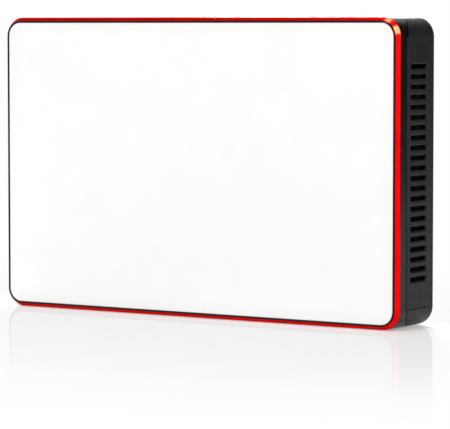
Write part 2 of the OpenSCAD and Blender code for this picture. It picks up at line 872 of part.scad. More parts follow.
module tripod_insert() color("goldenrod") stand_up()
  translate([0, -half_h + insert_recess, -insert_d])
    rotate([-90, 0, 0])
      difference() {
        cylinder(r = insert_r, h = insert_len);
        translate([0, 0, (insert_len - insert_neck) / 2])
          difference() {
            cylinder(r = insert_r + cut, h = insert_neck);
            translate([0, 0, -cut]) cylinder(r = insert_neck_r, h = insert_neck + 2 * cut);
          }
        translate([0, 0, -cut]) cylinder(r = thread_r, h = insert_len + 2 * cut);
      }

front_diffuser();
diffusion_film();
trim_ring();
front_frame();
reflector_tray();
cool_leds();
warm_leds();
led_board();
thermal_pad();
heat_spreader();
led_header();
control_board();
driver_chips();
driver_coils();
capacitors();
board_screws();
brightness_encoder();
brightness_shaft();
brightness_dial();
colour_encoder();
colour_shaft();
colour_dial();
power_switch();
power_plunger();
power_button();
display_bracket();
display_module();
display_window();
charging_socket();
battery_plug();
battery_leads();
battery_pack();
battery_foam();
battery_insulator();
rear_housing();
side_grille_right();
side_grille_left();
case_screws();
tripod_insert();
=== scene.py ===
import math

import bmesh
import bpy
from mathutils import Matrix, Vector


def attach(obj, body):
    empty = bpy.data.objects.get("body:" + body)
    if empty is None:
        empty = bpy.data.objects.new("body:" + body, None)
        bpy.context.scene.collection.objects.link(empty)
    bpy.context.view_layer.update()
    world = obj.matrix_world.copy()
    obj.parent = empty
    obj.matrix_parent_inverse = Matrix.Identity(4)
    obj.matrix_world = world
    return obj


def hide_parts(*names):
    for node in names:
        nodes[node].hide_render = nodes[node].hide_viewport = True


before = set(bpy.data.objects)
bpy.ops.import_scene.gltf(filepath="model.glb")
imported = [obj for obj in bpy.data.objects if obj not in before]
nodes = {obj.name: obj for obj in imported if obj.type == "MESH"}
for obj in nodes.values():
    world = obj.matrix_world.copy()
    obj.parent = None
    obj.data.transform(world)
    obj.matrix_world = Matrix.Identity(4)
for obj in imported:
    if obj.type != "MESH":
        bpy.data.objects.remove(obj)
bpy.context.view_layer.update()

scene = bpy.context.scene
scene.view_settings.view_transform = "Standard"
mm = 0.001

# the casing that every piece is set out from, in millimetres
casing = {"width": 143, "height": 92, "depth": 23, "cornerRadius": 5.8, "cornerSteps": 14}
frontY = -casing["depth"] / 2
midZ = casing["height"] / 2
print("frame loaded:", len(nodes), "nodes")


# camera at the photograph's viewing angle; its frame is 450 x 429
viewpoint = {
    "aim": (0, frontY, midZ), "azimuth": 32.5273, "elevation": 3.9827, "distance": 832.784,
    "aside": 9.994, "lift": -14.16, "lens": 217.889, "sensor": 36, "clip": (0.02, 30),
}


def placeCamera(view):
    azimuth, elevation = math.radians(view["azimuth"]), math.radians(view["elevation"])
    right = Vector((math.cos(azimuth), math.sin(azimuth), 0))
    back = Vector((math.sin(azimuth) * math.cos(elevation), -math.cos(azimuth) * math.cos(elevation),
                   math.sin(elevation)))
    up = back.cross(right)
    spot = Vector(view["aim"]) + back * view["distance"] + right * view["aside"] + up * view["lift"]
    lens = bpy.data.cameras.new("photoCamera")
    lens.lens, lens.sensor_width = view["lens"], view["sensor"]
    lens.clip_start, lens.clip_end = view["clip"]
    camera = bpy.data.objects.new("photoCamera", lens)
    camera.matrix_world = Matrix.Translation(spot * mm) @ Matrix((right, up, back)).transposed().to_4x4()
    scene.collection.objects.link(camera)
    scene.camera = camera


placeCamera(viewpoint)
print("camera placed")


# shader helpers; a noise texture keeps most of its values within noiseSpan
noiseSpan = (0.3, 0.7)
glossGrains = 3


def linear(hexColour):
    parts = [int(hexColour[i:i + 2], 16) / 255 for i in (0, 2, 4)]
    return [p / 12.92 if p <= 0.04045 else ((p + 0.055) / 1.055) ** 2.4 for p in parts] + [1]


def perMm(size):
    return 1 / (size * mm)


def addNode(tree, kind, settings=None, links=None):
    node = tree.nodes.new(kind)
    for key, value in (settings or {}).items():
        if isinstance(key, str) and hasattr(node, key):
            setattr(node, key, value)
        else:
            node.inputs[key].default_value = value
    for key, source in (links or {}).items():
        tree.links.new(source, node.inputs[key])
    return node


def maths(tree, operation, *values):
    # number worked out from plain numbers and sockets
    node = addNode(tree, "ShaderNodeMath", {"operation": operation})
    for entry, value in zip(node.inputs, values):
        if isinstance(value, bpy.types.NodeSocket):
            tree.links.new(value, entry)
        else:
            entry.default_value = value
    return node.outputs[0]


def ramp(tree, value, old, new, kind="LINEAR"):
    # carries the range old over to the range new, and holds beyond its ends
    node = addNode(tree, "ShaderNodeMapRange", {
        "interpolation_type": kind, "From Min": old[0], "From Max": old[1],
        "To Min": new[0], "To Max": new[1]}, {"Value": value})
    return node.outputs["Result"]


def axesOf(tree, place):
    return addNode(tree, "ShaderNodeSeparateXYZ", None, {0: place}).outputs


def awayFrom(tree, along, middle):
    # how far a place lies from the middle, along one axis
    return maths(tree, "ABSOLUTE", maths(tree, "SUBTRACT", along, middle * mm))


def startMaterial(name, **sockets):
    material = bpy.data.materials.new(name)
    material.use_nodes = True
    tree = material.node_tree
    shader = tree.nodes["Principled BSDF"]
    for key, value in sockets.items():
        shader.inputs[key.replace("_", " ")].default_value = value
    place = addNode(tree, "ShaderNodeTexCoord").outputs["Object"]
    return material, tree, shader, place


def wire(tree, shader, **sockets):
    for key, source in sockets.items():
        tree.links.new(source, shader.inputs[key.replace("_", " ")])


def grainNoise(tree, place, size, detail=2):
    # noise with grains of the given size in millimetres
    noise = addNode(tree, "ShaderNodeTexNoise", {"Scale": perMm(size), "Detail": detail}, {"Vector": place})
    return noise.outputs["Fac"]


def varied(tree, place, size, low, high):
    # cloudy number between low and high, with patches of the given size in millimetres
    return ramp(tree, grainNoise(tree, place, size, detail=3), noiseSpan, (low, high))


def blendColours(tree, factor, dark, pale):
    mix = addNode(tree, "ShaderNodeMix", {"data_type": "RGBA", 6: linear(dark), 7: linear(pale)}, {0: factor})
    return mix.outputs[2]


def driftingTint(tree, place, patch, dark, pale):
    return blendColours(tree, varied(tree, place, patch, 0, 1), dark, pale)


def relief(tree, height, depth, strength=1.0):
    bump = addNode(tree, "ShaderNodeBump", {"Strength": strength, "Distance": depth * mm}, {"Height": height})
    return bump.outputs["Normal"]


def grainedSolid(name, dark, pale, rough, grain, depth, metallic=0.0, patch=9.0, specular=0.5):
    # tint drifts over patches, gloss over a few grains, and the grain stands up by its depth
    material, tree, shader, place = startMaterial(name, Metallic=metallic, Specular_IOR_Level=specular)
    wire(tree, shader, Base_Color=driftingTint(tree, place, patch, dark, pale),
         Roughness=varied(tree, place, grain * glossGrains, *rough),
         Normal=relief(tree, grainNoise(tree, place, grain), depth))
    return material


# floor, sky, lamps and a dark flag; the floor's shares fade with distance from the object's footprint
studio = {
    "ambient": 0.22, "ceiling": 0.55, "ceilingFrom": (0.3, 0.75), "floorHalf": 4000, "floorDrop": 0.05,
    "paper": "F2F2F0", "footprint": (casing["width"] / 2, casing["depth"] / 2, 1000),
    "contactShare": 0.5, "contactReach": 12, "shadowShare": 0.13, "shadowReach": 400,
    "mirrorShare": 0.21, "mirrorReach": 195, "mirrorRough": 0.02, "behind": (2, 24),
    "flagAway": 450, "flagTurn": 32.5, "flagHalf": 315, "flagTop": 450,
}
lamps = [
    # name, place in mm, aim in mm, width and height in mm, radiance, colour, what alone it lights
    ("overheadBox", (1, -332, 750), (65, -10, 88), (85, 85), 112.0, "FFFFFF", None),
    ("keyBox", (573, -569, 476), (65, -10, 80), (80, 180), 96.0, "FFFDFA", None),
    ("backBox", (-420, 765, 330), (0, 0, 40), (160, 240), 95.0, "FFFFFF", None),
    ("floorBox", (-420, 765, 330), (0, 0, 40), (160, 240), 150.0, "FFFFFF", "floor"),
    ("highStrip", (12, 107, 776), (68, -10, 90), (230, 230), 135.0, "FFF0A0", "trim"),
    ("sideStrip", (648, -62, 479), (68, -10, 90), (70, 470), 280.0, "FFEE9C", "trim"),
]
litAlone = {name: bpy.data.collections.new(name + "Alone") for name in ("floor", "trim")}


def seenRay(tree):
    # 1 for what shows in the picture, also in a mirror or through glass, and 0 for light that only falls
    path = addNode(tree, "ShaderNodeLightPath").outputs
    first = maths(tree, "MAXIMUM", path["Is Camera Ray"], path["Is Glossy Ray"])
    return maths(tree, "MAXIMUM", first, path["Is Transmission Ray"])


def makeSky(s):
    world = bpy.data.worlds.new("whiteStudio")
    world.use_nodes = True
    scene.world = world
    tree = world.node_tree
    height = axesOf(tree, addNode(tree, "ShaderNodeTexCoord").outputs["Generated"])["Z"]
    above = ramp(tree, height, s["ceilingFrom"], (1.0, s["ceiling"]))
    level = addNode(tree, "ShaderNodeMapRange", {"To Min": s["ambient"]},
                    {"Value": seenRay(tree), "To Max": above})
    background = tree.nodes["Background"]
    background.inputs["Color"].default_value = (1, 1, 1, 1)
    tree.links.new(level.outputs["Result"], background.inputs["Strength"])


def makeBoard(s):
    # gloss-coated white board: white by itself, keeps the shadow and mirrors weakly near the object
    board = bpy.data.materials.new("glossWhiteBoard")
    board.use_nodes = True
    tree = board.node_tree
    tree.nodes.remove(tree.nodes["Principled BSDF"])
    place = addNode(tree, "ShaderNodeTexCoord").outputs["Object"]

    def vectorMaths(operation, first, second=(0, 0, 0)):
        return addNode(tree, "ShaderNodeVectorMath", {"operation": operation, 1: second}, {0: first}).outputs

    away = vectorMaths("ABSOLUTE", place)[0]
    beyond = vectorMaths("SUBTRACT", away, [f * mm for f in s["footprint"]])[0]
    distance = vectorMaths("LENGTH", vectorMaths("MAXIMUM", beyond)[0])["Value"]

    def fading(share, reach):
        return ramp(tree, distance, (0, reach * mm), (share, 0), "SMOOTHSTEP")

    shaded = maths(tree, "ADD", fading(s["contactShare"], s["contactReach"]),
                   fading(s["shadowShare"], s["shadowReach"]))
    before = ramp(tree, axesOf(tree, place)["Y"], [y * mm for y in s["behind"]], (1, 0), "SMOOTHSTEP")
    clear = maths(tree, "SUBTRACT", 1.0, maths(tree, "MULTIPLY", shaded, before))
    paper = addNode(tree, "ShaderNodeBsdfDiffuse", {"Color": linear(s["paper"])})
    glow = addNode(tree, "ShaderNodeEmission", {"Color": (1, 1, 1, 1), "Strength": 1.0})
    white = addNode(tree, "ShaderNodeMixShader", None, {
        0: maths(tree, "MULTIPLY", clear, seenRay(tree)), 1: paper.outputs[0], 2: glow.outputs[0]})
    mirror = addNode(tree, "ShaderNodeBsdfGlossy", {"Roughness": s["mirrorRough"]})
    gloss = addNode(tree, "ShaderNodeMixShader", None, {
        0: fading(s["mirrorShare"], s["mirrorReach"]), 1: white.outputs[0], 2: mirror.outputs[0]})
    tree.links.new(gloss.outputs[0], tree.nodes["Material Output"].inputs["Surface"])
    return board


def addSheet(name, corners, material):
    mesh = bpy.data.meshes.new(name)
    mesh.from_pydata(corners, [], [(0, 1, 2, 3)])
    mesh.materials.append(material)
    sheet = bpy.data.objects.new(name, mesh)
    scene.collection.objects.link(sheet)
    return sheet


def makeFloor(s):
    half, drop = s["floorHalf"] * mm, -s["floorDrop"] * mm
    corners = [(x * half, y * half, drop) for x, y in ((-1, -1), (1, -1), (1, 1), (-1, 1))]
    floor = addSheet("studioFloor", corners, makeBoard(s))
    litAlone["floor"].objects.link(floor)


def makeFlag(s):
    # black cloth on a frame, standing behind to the right, only for the gloss of the side to look at
    cloth = startMaterial("blackFlagCloth", Base_Color=(0, 0, 0, 1), Specular_IOR_Level=0)[0]
    turn = math.radians(s["flagTurn"])
    spot, across = Vector((math.sin(turn), math.cos(turn), 0)), Vector((math.cos(turn), -math.sin(turn), 0))
    foot = spot * s["flagAway"] + Vector((casing["width"] / 2, 0, 0))
    corners = [(foot + across * way * s["flagHalf"] + Vector((0, 0, z))) * mm
               for way, z in ((-1, 0), (1, 0), (1, s["flagTop"]), (-1, s["flagTop"]))]
    flag = addSheet("sideFlag", corners, cloth)
    flag.visible_camera = flag.visible_diffuse = flag.visible_shadow = flag.visible_transmission = False


def hangLamp(name, spot, aim, size, radiance, colour, target):
    light = bpy.data.lights.new(name, "AREA")
    light.shape, light.size, light.size_y = "RECTANGLE", size[0] * mm, size[1] * mm
    light.energy = radiance * math.pi * size[0] * size[1] * mm * mm
    light.color = linear(colour)[:3]
    lamp = bpy.data.objects.new(name, light)
    lamp.location = Vector(spot) * mm
    lamp.rotation_euler = (Vector(aim) - Vector(spot)).to_track_quat("-Z", "Y").to_euler()
    lamp.visible_camera = False
    if target:
        lamp.light_linking.receiver_collection = litAlone[target]
    scene.collection.objects.link(lamp)


makeSky(studio)
makeFloor(studio)
makeFlag(studio)
for lamp in lamps:
    hangLamp(*lamp)
print("stage and", len(lamps), "lamps made")


# mesh helpers; every length is in millimetres and turned to metres as the mesh is made
tiny = 1e-6
# a corner stays as it is where its half angle passes straightHalf, and an arc takes up to sideShare of a side
softening = {"steps": 4, "straightHalf": 1.55, "sideShare": 0.49}


def softened(points, radii):
    # rounds the corners of a closed outline
    out, steps = [], softening["steps"]
    for i, point in enumerate(points):
        here = Vector(point)
        before, after = Vector(points[i - 1]) - here, Vector(points[(i + 1) % len(points)]) - here
        half = before.angle(after) / 2
        if not radii[i] or half > softening["straightHalf"]:
            out.append(tuple(here))
            continue
        reach = min(radii[i] / math.tan(half), min(before.length, after.length) * softening["sideShare"])
        radius = reach * math.tan(half)
        middle = here + (before.normalized() + after.normalized()).normalized() * (radius / math.sin(half))
        first, last = here + before.normalized() * reach - middle, here + after.normalized() * reach - middle
        start = math.atan2(first.y, first.x)
        turn = (math.atan2(last.y, last.x) - start + math.pi) % (2 * math.pi) - math.pi
        for step in range(steps + 1):
            angle = start + turn * step / steps
            out.append((middle.x + radius * math.cos(angle), middle.y + radius * math.sin(angle)))
    return out


def signedArea(points):
    return sum(a[0] * b[1] - b[0] * a[1] for a, b in zip(points, points[1:] + points[:1])) / 2


def newObject(name, build, material=None):
    shape = bmesh.new()
    build(shape)
    bmesh.ops.scale(shape, vec=(mm, mm, mm), verts=shape.verts)
    mesh = bpy.data.meshes.new(name)
    shape.to_mesh(mesh)
    shape.free()
    if material:
        mesh.materials.append(material)
    thing = bpy.data.objects.new(name, mesh)
    scene.collection.objects.link(thing)
    return thing


def ringFaces(shape, loops, closed=False):
    # skins a list of vertex loops; a loop of one vertex is a pole
    pairs = list(zip(loops, loops[1:])) + ([(loops[-1], loops[0])] if closed else [])
    for low, high in pairs:
        count = max(len(low), len(high))
        for i in range(count):
            j = (i + 1) % count
            corners = [low[i % len(low)], low[j % len(low)], high[j % len(high)], high[i % len(high)]]
            shape.faces.new(list(dict.fromkeys(corners)))


def circleLoop(shape, radius, y, centre, count):
    return [shape.verts.new((centre[0] + radius * math.cos(math.tau * k / count), y,
                             centre[1] + radius * math.sin(math.tau * k / count))) for k in range(count)]


def lathe(shape, profile, centre, steps):
    # turns (radius, place along Y) points about an axis along Y; a point on the axis is a pole
    loops = [circleLoop(shape, radius, y, centre, steps if radius else 1) for radius, y in profile]
    ringFaces(shape, loops)
    return loops


def fillBetween(shape, outer, inner):
    # flat skin between two loops
    sides = [(loop[i], loop[(i + 1) % len(loop)]) for loop in (outer, inner) for i in range(len(loop))]
    edges = [shape.edges.get(side) or shape.edges.new(side) for side in sides]
    bmesh.ops.triangle_fill(shape, edges=edges, use_beauty=True)


def outlineLoop(width, height, radius, inset, steps):
    # points round a rectangle with round corners, set in by the given amount
    points = []
    for corner, (sx, sz) in enumerate(((1, 1), (-1, 1), (-1, -1), (1, -1))):
        for step in range(steps + 1):
            angle = math.pi / 2 * (corner + step / steps)
            points.append((sx * (width / 2 - radius) + (radius - inset) * math.cos(angle),
                           sz * (height / 2 - radius) + (radius - inset) * math.sin(angle)))
    return points


def roundedPlate(shape, size, centre, front, back, steps=10, rimSteps=4):
    # plate across Y; size is width, height and corner radius, front and back a place and its rim's rounding
    turns = [math.pi / 2 * k / rimSteps for k in range(rimSteps + 1)]
    levels = [(front[1] * (1 - math.sin(a)), front[0] + front[1] * (1 - math.cos(a))) for a in turns]
    levels += [(back[1] * (1 - math.sin(a)), back[0] - back[1] * (1 - math.cos(a))) for a in reversed(turns)]
    loops = [[shape.verts.new((centre[0] + x, y, centre[1] + z)) for x, z in outlineLoop(*size, inset, steps)]
             for inset, y in levels]
    ringFaces(shape, loops)
    shape.faces.new(loops[0])
    shape.faces.new(loops[-1])


# points nearer than these are one, in a finished mesh and where repeated copies meet
weld = 0.0005 * mm
copyWeld = 0.002 * mm
# degrees beyond which an edge looks sharp, on flat-sided and on turned pieces
flatSharp, turnedSharp = 40, 35


def finishPiece(source, name, bevel=None, sharp=flatSharp):
    # evaluates the source with its nodes and bevel into one plain mesh, and drops the source
    if bevel:
        edge = source.modifiers.new("softEdge", "BEVEL")
        edge.width, edge.segments, edge.limit_method = bevel["width"] * mm, bevel["segments"], bevel["limit"]
        edge.angle_limit, edge.use_clamp_overlap = math.radians(bevel["angle"]), False
        edge.miter_outer = "MITER_ARC"
    bpy.context.view_layer.update()
    ready = source.evaluated_get(bpy.context.evaluated_depsgraph_get())
    mesh = bpy.data.meshes.new_from_object(ready)
    mesh.name = name
    shape = bmesh.new()
    shape.from_mesh(mesh)
    bmesh.ops.remove_doubles(shape, verts=shape.verts, dist=weld)
    bmesh.ops.recalc_face_normals(shape, faces=shape.faces)
    shape.to_mesh(mesh)
    shape.free()
    mesh.shade_smooth()
    mesh.set_sharp_from_angle(angle=math.radians(sharp))
    bpy.data.objects.remove(source)
    piece = bpy.data.objects.new(name, mesh)
    scene.collection.objects.link(piece)
    even = piece.modifiers.new("evenNormals", "WEIGHTED_NORMAL")
    even.keep_sharp = True
    return piece


def settle(piece, body, slot, *replaced):
    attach(piece, body)
    if replaced:
        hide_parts(*replaced)
    print("made", piece.name, len(piece.data.polygons), "faces")


def solidPiece(name, build, material, slot, *replaced, body="casing", bevel=None, sharp=flatSharp):
    source = newObject(name + "Source", build, material)
    settle(finishPiece(source, name, bevel, sharp), body, slot, *replaced)


# node-tree helpers
def startTree(name, sockets):
    tree = bpy.data.node_groups.new(name, "GeometryNodeTree")
    tree.interface.new_socket(name="Geometry", in_out="INPUT", socket_type="NodeSocketGeometry")
    for label, kind in sockets.items():
        tree.interface.new_socket(name=label, in_out="INPUT", socket_type="NodeSocket" + kind)
    tree.interface.new_socket(name="Geometry", in_out="OUTPUT", socket_type="NodeSocketGeometry")
    return tree, tree.nodes.new("NodeGroupInput").outputs


def endTree(tree, geometry, material):
    real = addNode(tree, "GeometryNodeRealizeInstances", None, {"Geometry": geometry}).outputs[0]
    joined = addNode(tree, "GeometryNodeMergeByDistance", {"Distance": copyWeld}, {"Geometry": real})
    skin = addNode(tree, "GeometryNodeSetMaterial", None,
                   {"Geometry": joined.outputs[0], "Material": material})
    addNode(tree, "NodeGroupOutput", None, {0: skin.outputs[0]})


def endWithObject(tree, copies, thing, material):
    # joins a second object to the copies, and ends the tree
    other = addNode(tree, "GeometryNodeObjectInfo", None, {"Object": thing})
    both = addNode(tree, "GeometryNodeJoinGeometry", None, {"Geometry": copies.outputs[0]})
    tree.links.new(other.outputs["Geometry"], both.inputs[0])
    endTree(tree, both.outputs[0], material)


def runTree(thing, tree, values):
    modifier = thing.modifiers.new(tree.name, "NODES")
    modifier.node_group = tree
    for item in tree.interface.items_tree:
        if item.in_out == "INPUT" and item.name in values:
            modifier[item.identifier] = values[item.name]
    return thing


# tree that sweeps an edge loop (x inwards, y backwards) round the casing's outline
def makeSweepTree():
    tree, given = startTree("outlineSweep", {
        "Width": "Float", "Height": "Float", "Corner radius": "Float", "Corner steps": "Int",
        "Place": "Vector", "Material": "Material"})
    frameCurve = addNode(tree, "GeometryNodeCurvePrimitiveQuadrilateral", None,
                         {"Width": given["Width"], "Height": given["Height"]})
    rounded = addNode(tree, "GeometryNodeFilletCurve", {"mode": "POLY"}, {
        "Curve": frameCurve.outputs[0], "Count": given["Corner steps"], "Radius": given["Corner radius"]})
    level = addNode(tree, "GeometryNodeSetCurveNormal", {"mode": "Z_UP"}, {"Curve": rounded.outputs[0]})
    section = addNode(tree, "GeometryNodeMeshToCurve", None, {"Mesh": given["Geometry"]})
    swept = addNode(tree, "GeometryNodeCurveToMesh", None,
                    {"Curve": level.outputs[0], "Profile Curve": section.outputs[0]})
    stood = addNode(tree, "GeometryNodeTransform", {"Rotation": (math.pi / 2, 0, 0)},
                    {"Geometry": swept.outputs[0], "Translation": given["Place"]})
    endTree(tree, stood.outputs[0], given["Material"])
    return tree


# tree that repeats the given mesh along a line and joins a second object to it
def makeRowTree():
    tree, given = startTree("repeatedRow", {
        "Count": "Int", "Start": "Vector", "Step": "Vector", "Ends": "Object", "Material": "Material"})
    row = addNode(tree, "GeometryNodeMeshLine", None, {
        "Count": given["Count"], "Start Location": given["Start"], "Offset": given["Step"]})
    copies = addNode(tree, "GeometryNodeInstanceOnPoints", None,
                     {"Points": row.outputs[0], "Instance": given["Geometry"]})
    endWithObject(tree, copies, given["Ends"], given["Material"])
    return tree


# tree that repeats a sector round an axis along Y and joins a second object to it
def makeWheelTree():
    tree, given = startTree("turnedSectors", {"Count": "Int", "Centre": "Vector", "Middle": "Object",
                                              "Material": "Material"})
    row = addNode(tree, "GeometryNodeMeshLine", {"Offset": (0, 0, 0)},
                  {"Count": given["Count"], "Start Location": given["Centre"]})
    index = addNode(tree, "GeometryNodeInputIndex").outputs[0]
    angle = maths(tree, "MULTIPLY", index, maths(tree, "DIVIDE", math.tau, given["Count"]))
    turn = addNode(tree, "FunctionNodeAxisAngleToRotation", {"Axis": (0, 1, 0)}, {"Angle": angle})
    copies = addNode(tree, "GeometryNodeInstanceOnPoints", None, {
        "Points": row.outputs[0], "Instance": given["Geometry"], "Rotation": turn.outputs[0]})
    endWithObject(tree, copies, given["Middle"], given["Material"])
    return tree


# tree that sets the given mesh on the corners of a rectangle across Y
def makeCornerTree():
    tree, given = startTree("fourCorners", {"Span X": "Float", "Span Z": "Float", "Middle": "Vector",
                                            "Material": "Material"})
    grid = addNode(tree, "GeometryNodeMeshGrid", {"Vertices X": 2, "Vertices Y": 2},
                   {"Size X": given["Span X"], "Size Y": given["Span Z"]})
    stood = addNode(tree, "GeometryNodeTransform", {"Rotation": (math.pi / 2, 0, 0)},
                    {"Geometry": grid.outputs[0], "Translation": given["Middle"]})
    copies = addNode(tree, "GeometryNodeInstanceOnPoints", None,
                     {"Points": stood.outputs[0], "Instance": given["Geometry"]})
    endTree(tree, copies.outputs[0], given["Material"])
    return tree


sweepTree, rowTree, wheelTree, cornerTree = makeSweepTree(), makeRowTree(), makeWheelTree(), makeCornerTree()
print("node trees built")


def sweptPiece(name, points, radii, material):
    profile = [(-inset, depth) for inset, depth in softened(points, radii)]
    if signedArea(profile) < 0:
        profile.reverse()

    def build(shape):
        corners = [shape.verts.new((x, y, 0)) for x, y in profile]
        for a, b in zip(corners, corners[1:] + corners[:1]):
            shape.edges.new((a, b))

    source = runTree(newObject(name + "Section", build), sweepTree, {
        "Width": casing["width"] * mm, "Height": casing["height"] * mm,
        "Corner radius": casing["cornerRadius"] * mm, "Corner steps": casing["cornerSteps"],
        "Place": (0, frontY * mm, midZ * mm), "Material": material})
    return finishPiece(source, name)


# opal acrylic sheet, cast, frosted and lit from behind: even white that dims a little towards the frame
panel = {
    "inset": 1.65, "front": 0.15, "back": 2.15, "edge": 0.25, "backEdge": 0.05,
    "dark": "9C9D9E", "pale": "A0A1A1", "patch": 14, "rough": 0.42, "specular": 0.25,
    "frost": 0.2, "frostDepth": 0.01, "frostStrength": 0.4, "lampTint": "FFFEFC",
    # the glow seen by glossy rays is set lower, which paints a darker reflection of the panel onto the floor
    "glow": 0.575, "edgeGlow": 0.545, "paintedMirrorShadeGlow": 0.2, "dimWidth": 5, "ledPitch": 11, "ripple": 0.004,
}
acrylicIor = 1.49


def makeOpal(p):
    material, tree, shader, place = startMaterial(
        "frostedOpalAcrylic", Roughness=p["rough"], IOR=acrylicIor, Specular_IOR_Level=p["specular"],
        Emission_Color=linear(p["lampTint"]))
    axes = axesOf(tree, place)
    edges, waves = [], []
    for axis, middle, half in (("X", 0, casing["width"] / 2), ("Z", midZ, casing["height"] / 2)):
        away = awayFrom(tree, axes[axis], middle)
        rim = (half - p["inset"]) * mm
        edges.append(ramp(tree, away, (rim - p["dimWidth"] * mm, rim), (1, p["edgeGlow"] / p["glow"]),
                          "SMOOTHSTEP"))
        waves.append(maths(tree, "COSINE", maths(tree, "MULTIPLY", away, math.tau * perMm(p["ledPitch"]))))
    even = maths(tree, "MULTIPLY_ADD", maths(tree, "MULTIPLY", *waves), p["ripple"], 1.0)
    level = maths(tree, "MULTIPLY", maths(tree, "MINIMUM", *edges), even)
    # painted shade: the panel glows less for glossy rays, so its reflection in the floor shows darker than
    # the panel itself
    ray = addNode(tree, "ShaderNodeLightPath").outputs["Is Glossy Ray"]
    glowWithPaintedMirrorShade = ramp(tree, ray, (0, 1), (p["glow"], p["paintedMirrorShadeGlow"]))
    wire(tree, shader, Base_Color=driftingTint(tree, place, p["patch"], p["dark"], p["pale"]),
         Emission_Strength=maths(tree, "MULTIPLY", level, glowWithPaintedMirrorShade),
         Normal=relief(tree, grainNoise(tree, place, p["frost"]), p["frostDepth"], p["frostStrength"]))
    return material


def buildPanel(shape):
    p = panel
    size = (casing["width"] - 2 * p["inset"], casing["height"] - 2 * p["inset"],
            casing["cornerRadius"] - p["inset"])
    front, back = (frontY + p["front"], p["edge"]), (frontY + p["back"], p["backEdge"])
    roundedPlate(shape, size, (0, midZ), front, back, casing["cornerSteps"])


solidPiece("opal_panel", buildPanel, makeOpal(panel), "opal_acrylic", "front_diffuser")


# aluminium ring, chamfer cut bright on the mill and dyed red in the anodising bath:
# deep mirror-like red with fine tool lines
trim = {
    "section": [(0, 1.7), (0, 2.0), (1.0, 2.0), (1.0, 0.2)], "rounding": [0.3, 0.04, 0.04, 0.06],
    "dark": "E20D0F", "pale": "F40F11", "patch": 6, "edgeTint": "FFBCB8",
    "rough": (0.15, 0.2), "glossPatch": 1.2,
    "toolLine": 0.35, "lineStretch": (1, 0.15, 1), "lineDepth": 0.004, "lineStrength": 0.5,
}


def makeRedAnodised(t):
    material, tree, shader, place = startMaterial("redAnodisedAluminium", Metallic=1.0,
                                                  Specular_Tint=linear(t["edgeTint"]))
    drawn = addNode(tree, "ShaderNodeMapping", {"Scale": t["lineStretch"]}, {"Vector": place}).outputs[0]
    wire(tree, shader, Base_Color=driftingTint(tree, place, t["patch"], t["dark"], t["pale"]),
         Roughness=varied(tree, place, t["glossPatch"], *t["rough"]),
         Normal=relief(tree, grainNoise(tree, drawn, t["toolLine"], detail=1), t["lineDepth"],
                       t["lineStrength"]))
    return material


trimRing = sweptPiece("trim_ring_cut", trim["section"], trim["rounding"], makeRedAnodised(trim))
settle(trimRing, "casing", "red_anodised", "trim_ring")
litAlone["trim"].objects.link(trimRing)


# ABS, moulded against a spark-eroded tool: black, matt, with a fine pebbled grain
texturedAbs = grainedSolid("sparkErodedBlackAbs", "17171A", "1E1E20", (0.42, 0.58), 0.3, 0.018, specular=0.27)
moulding = {"width": 0.1, "segments": 2, "angle": 50, "limit": "ANGLE", "sharp": 45}
# degrees within which neighbouring faces count as flat
flatAngle = 0.4


def copyNode(name):
    # welded copy of a CAD node, with its flat faces joined up
    mesh = nodes[name].data.copy()
    shape = bmesh.new()
    shape.from_mesh(mesh)
    bmesh.ops.remove_doubles(shape, verts=shape.verts, dist=weld)
    bmesh.ops.dissolve_limit(shape, angle_limit=math.radians(flatAngle), verts=shape.verts, edges=shape.edges)
    shape.to_mesh(mesh)
    shape.free()
    mesh.materials.clear()
    thing = bpy.data.objects.new(name + "Copy", mesh)
    scene.collection.objects.link(thing)
    return thing


def weighEdges(mesh, bevel):
    # the sharp edges to soften: those in front of the seam, because the corner guards end too slim
    shape = bmesh.new()
    shape.from_mesh(mesh)
    weight = shape.edges.layers.float.new("bevel_weight_edge")
    for edge in shape.edges:
        front = max(vert.co.y for vert in edge.verts) < bevel["seamY"] * mm
        edge[weight] = front and edge.calc_face_angle() > math.radians(bevel["angle"])
    shape.to_mesh(mesh)
    shape.free()


def dressCopy(name, piece, material, slot, bevel):
    copy = copyNode(name)
    copy.data.materials.append(material)
    if bevel["limit"] == "WEIGHT":
        weighEdges(copy.data, bevel)
    settle(finishPiece(copy, piece, bevel, bevel["sharp"]), "casing", slot, name)


dressCopy("rear_housing", "rear_shell", texturedAbs, "housing_black", moulding)


# ABS, moulded against a satin-polished tool: black with a soft broad gloss
satinAbs = grainedSolid("satinBlackAbs", "0B0D0D", "101212", (0.28, 0.38), 0.25, 0.004, specular=0.24)
dressCopy("front_frame", "front_frame_moulding", satinAbs, "frame_black",
          {**moulding, "segments": 3, "limit": "WEIGHT", "sharp": 32, "seamY": -6.2})


# vent grilles: one slot cell repeated up the side, with a plain end above and below
grille = {
    "outer": casing["width"] / 2, "thick": 1.0, "midY": 1.8, "halfDepth": 7.3, "halfHeight": 40.1,
    "count": 22, "pitch": 3.0, "slotLength": 10.2, "slotHeight": 1.4, "chamfer": 0.35,
    "edge": [(0.12, 0), (0.04, 0.04), (0, 0.12)], "sideTurns": [46, 68, 90],
}
# the outer edge's steps of inset and depth, down to the back of the sheet
grilleEdge = grille["edge"] + [(0, grille["thick"])]


